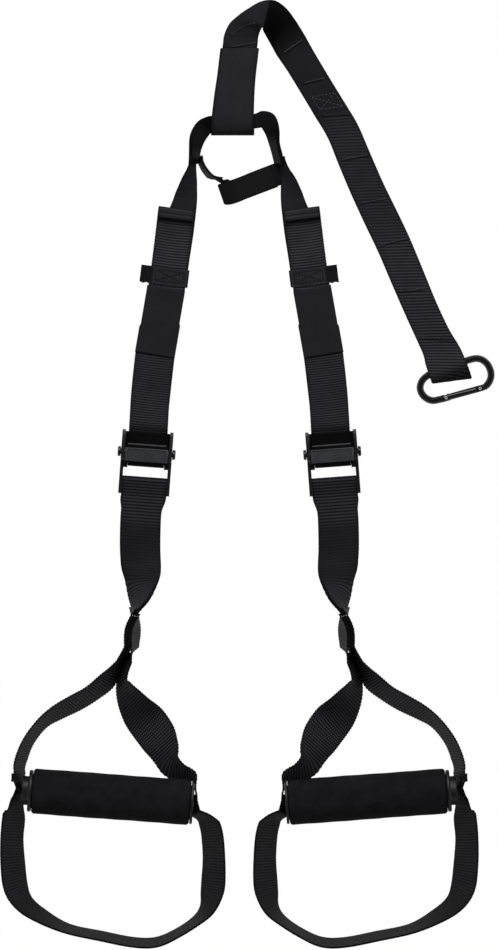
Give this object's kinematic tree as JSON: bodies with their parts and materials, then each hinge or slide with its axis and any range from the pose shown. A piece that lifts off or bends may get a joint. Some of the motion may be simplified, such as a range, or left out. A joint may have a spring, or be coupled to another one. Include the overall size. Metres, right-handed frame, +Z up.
{
  "type": "suspension trainer",
  "caption": "Suspension trainer: webbing anchor with snap hook, yoke and two length-adjustable arms, each with a cam buckle, a foam handle and a foot cradle.",
  "frame": {"origin": "centre of the laid-out trainer's footprint, on the surface it lies on", "axes": "+Y from the foot cradles to the top of the anchor strap, +X towards the snap hook's side, +Z up from the surface it lies on"},
  "size_m": [0.4551, 0.8723, 0.042],
  "materials": {
    "webbing": "ribbed black polyester webbing",
    "sleeve": "smooth black coated cloth",
    "hook": "gloss black coated alloy",
    "buckle": "satin black cast alloy",
    "cam": "satin dark grey cast alloy",
    "steel": "blackened steel",
    "foam": "matt black closed-cell foam",
    "tube": "black moulded plastic"
  },
  "bodies": {
    "anchor": {"anchor_strap": "webbing", "anchor_sleeve": "sleeve", "yoke_strap": "webbing", "locking_loop_strap": "webbing", "left_main_strap": "webbing", "left_main_strap_lower": "webbing", "right_main_strap": "webbing", "right_main_strap_lower": "webbing"},
    "hook": {"carabiner_body": "hook", "carabiner_hinge_pin": "steel"},
    "gate": {"carabiner_gate": "hook", "carabiner_latch_pin": "steel"},
    "tab": {"locking_tab": "webbing"},
    "left_buckle": {"left_buckle_frame": "buckle", "left_cam_pin": "steel", "left_cam_spring": "steel", "left_strap_bar": "steel", "left_buckle_strap": "webbing"},
    "left_tail": {"left_tail_strap": "webbing", "left_tail_strap_lower": "webbing", "left_keeper_band": "webbing", "left_strap_sleeve": "sleeve"},
    "left_cam": {"left_cam": "cam"},
    "left_handle": {"left_lower_strap": "webbing", "left_handle_strap": "webbing"},
    "left_grip": {"left_grip_foam": "foam", "left_grip_tube": "tube", "left_outer_end_ring": "tube", "left_inner_end_ring": "tube"},
    "left_cradle": {"left_foot_cradle": "webbing"},
    "right_buckle": {"right_buckle_frame": "buckle", "right_cam_pin": "steel", "right_cam_spring": "steel", "right_strap_bar": "steel", "right_buckle_strap": "webbing"},
    "right_tail": {"right_tail_strap": "webbing", "right_tail_strap_lower": "webbing", "right_keeper_band": "webbing", "right_strap_sleeve": "sleeve"},
    "right_cam": {"right_cam": "cam"},
    "right_handle": {"right_lower_strap": "webbing", "right_handle_strap": "webbing"},
    "right_grip": {"right_grip_foam": "foam", "right_grip_tube": "tube", "right_outer_end_ring": "tube", "right_inner_end_ring": "tube"},
    "right_cradle": {"right_foot_cradle": "webbing"}
  },
  "joints": [
    {"name": "hook_swing", "type": "hinge", "parent": "anchor", "child": "hook", "pos_m": [0.18338, 0.09764, 0.0054], "axis": [0.9367, 0.3502, 0], "range_deg": [-100, 100]},
    {"name": "gate_opening", "type": "hinge", "parent": "hook", "child": "gate", "pos_m": [0.21342, 0.07875, 0.0054], "axis": [0, 0, -1], "range_deg": [0, 17], "stiffness_Nm_per_rad": 0.25, "springref_deg": -20.05},
    {"name": "tab_peel", "type": "hinge", "parent": "anchor", "child": "tab", "pos_m": [0.0235, 0.27365, 0.0021], "axis": [-0.3746, 0.9272, 0], "range_deg": [0, 95]},
    {"name": "left_length", "type": "slide", "parent": "anchor", "child": "left_buckle", "axis": [-0.1219, -0.9925, 0], "range_m": [-0.004, 0.06], "deforming": ["left_main_strap_lower"]},
    {"name": "left_tail", "type": "slide", "parent": "left_buckle", "child": "left_tail", "axis": [-0.1219, -0.9925, 0], "range_m": [-0.004, 0.06], "deforming": ["left_tail_strap_lower"]},
    {"name": "left_cam_lift", "type": "hinge", "parent": "left_buckle", "child": "left_cam", "pos_m": [-0.0932, 0.0193, 0.013], "axis": [-0.9973, 0.0732, 0], "range_deg": [0, 15], "stiffness_Nm_per_rad": 0.2, "springref_deg": -17.19},
    {"name": "left_handle_swing", "type": "hinge", "parent": "left_buckle", "child": "left_handle", "pos_m": [-0.09513, -0.00703, 0.0046], "axis": [0.9973, -0.0732, 0], "range_deg": [-35, 50]},
    {"name": "left_grip_spin", "type": "hinge", "parent": "left_handle", "child": "left_grip", "pos_m": [-0.12551, -0.29648, 0.021], "axis": [0.9973, -0.0732, 0], "continuous": true},
    {"name": "left_cradle_swing", "type": "hinge", "parent": "left_handle", "child": "left_cradle", "pos_m": [-0.12551, -0.29648, 0.021], "axis": [0.9973, -0.0732, 0], "range_deg": [-60, 38]},
    {"name": "right_length", "type": "slide", "parent": "anchor", "child": "right_buckle", "axis": [0.1253, -0.9921, 0], "range_m": [-0.004, 0.06], "deforming": ["right_main_strap_lower"]},
    {"name": "right_tail", "type": "slide", "parent": "right_buckle", "child": "right_tail", "axis": [0.1253, -0.9921, 0], "range_m": [-0.004, 0.06], "deforming": ["right_tail_strap_lower"]},
    {"name": "right_cam_lift", "type": "hinge", "parent": "right_buckle", "child": "right_cam", "pos_m": [0.0774, 0.0193, 0.013], "axis": [-0.9973, -0.0732, 0], "range_deg": [0, 15], "stiffness_Nm_per_rad": 0.2, "springref_deg": -17.19},
    {"name": "right_handle_swing", "type": "hinge", "parent": "right_buckle", "child": "right_handle", "pos_m": [0.07933, -0.00703, 0.0046], "axis": [0.9973, 0.0732, 0], "range_deg": [-35, 50]},
    {"name": "right_grip_spin", "type": "hinge", "parent": "right_handle", "child": "right_grip", "pos_m": [0.10971, -0.29648, 0.021], "axis": [0.9973, 0.0732, 0], "continuous": true},
    {"name": "right_cradle_swing", "type": "hinge", "parent": "right_handle", "child": "right_cradle", "pos_m": [0.10971, -0.29648, 0.021], "axis": [0.9973, 0.0732, 0], "range_deg": [-60, 38]}
  ],
  "couplings": [
    {"joint": "left_tail", "follows": "left_length", "ratio": 1},
    {"joint": "right_tail", "follows": "right_length", "ratio": 1}
  ]
}
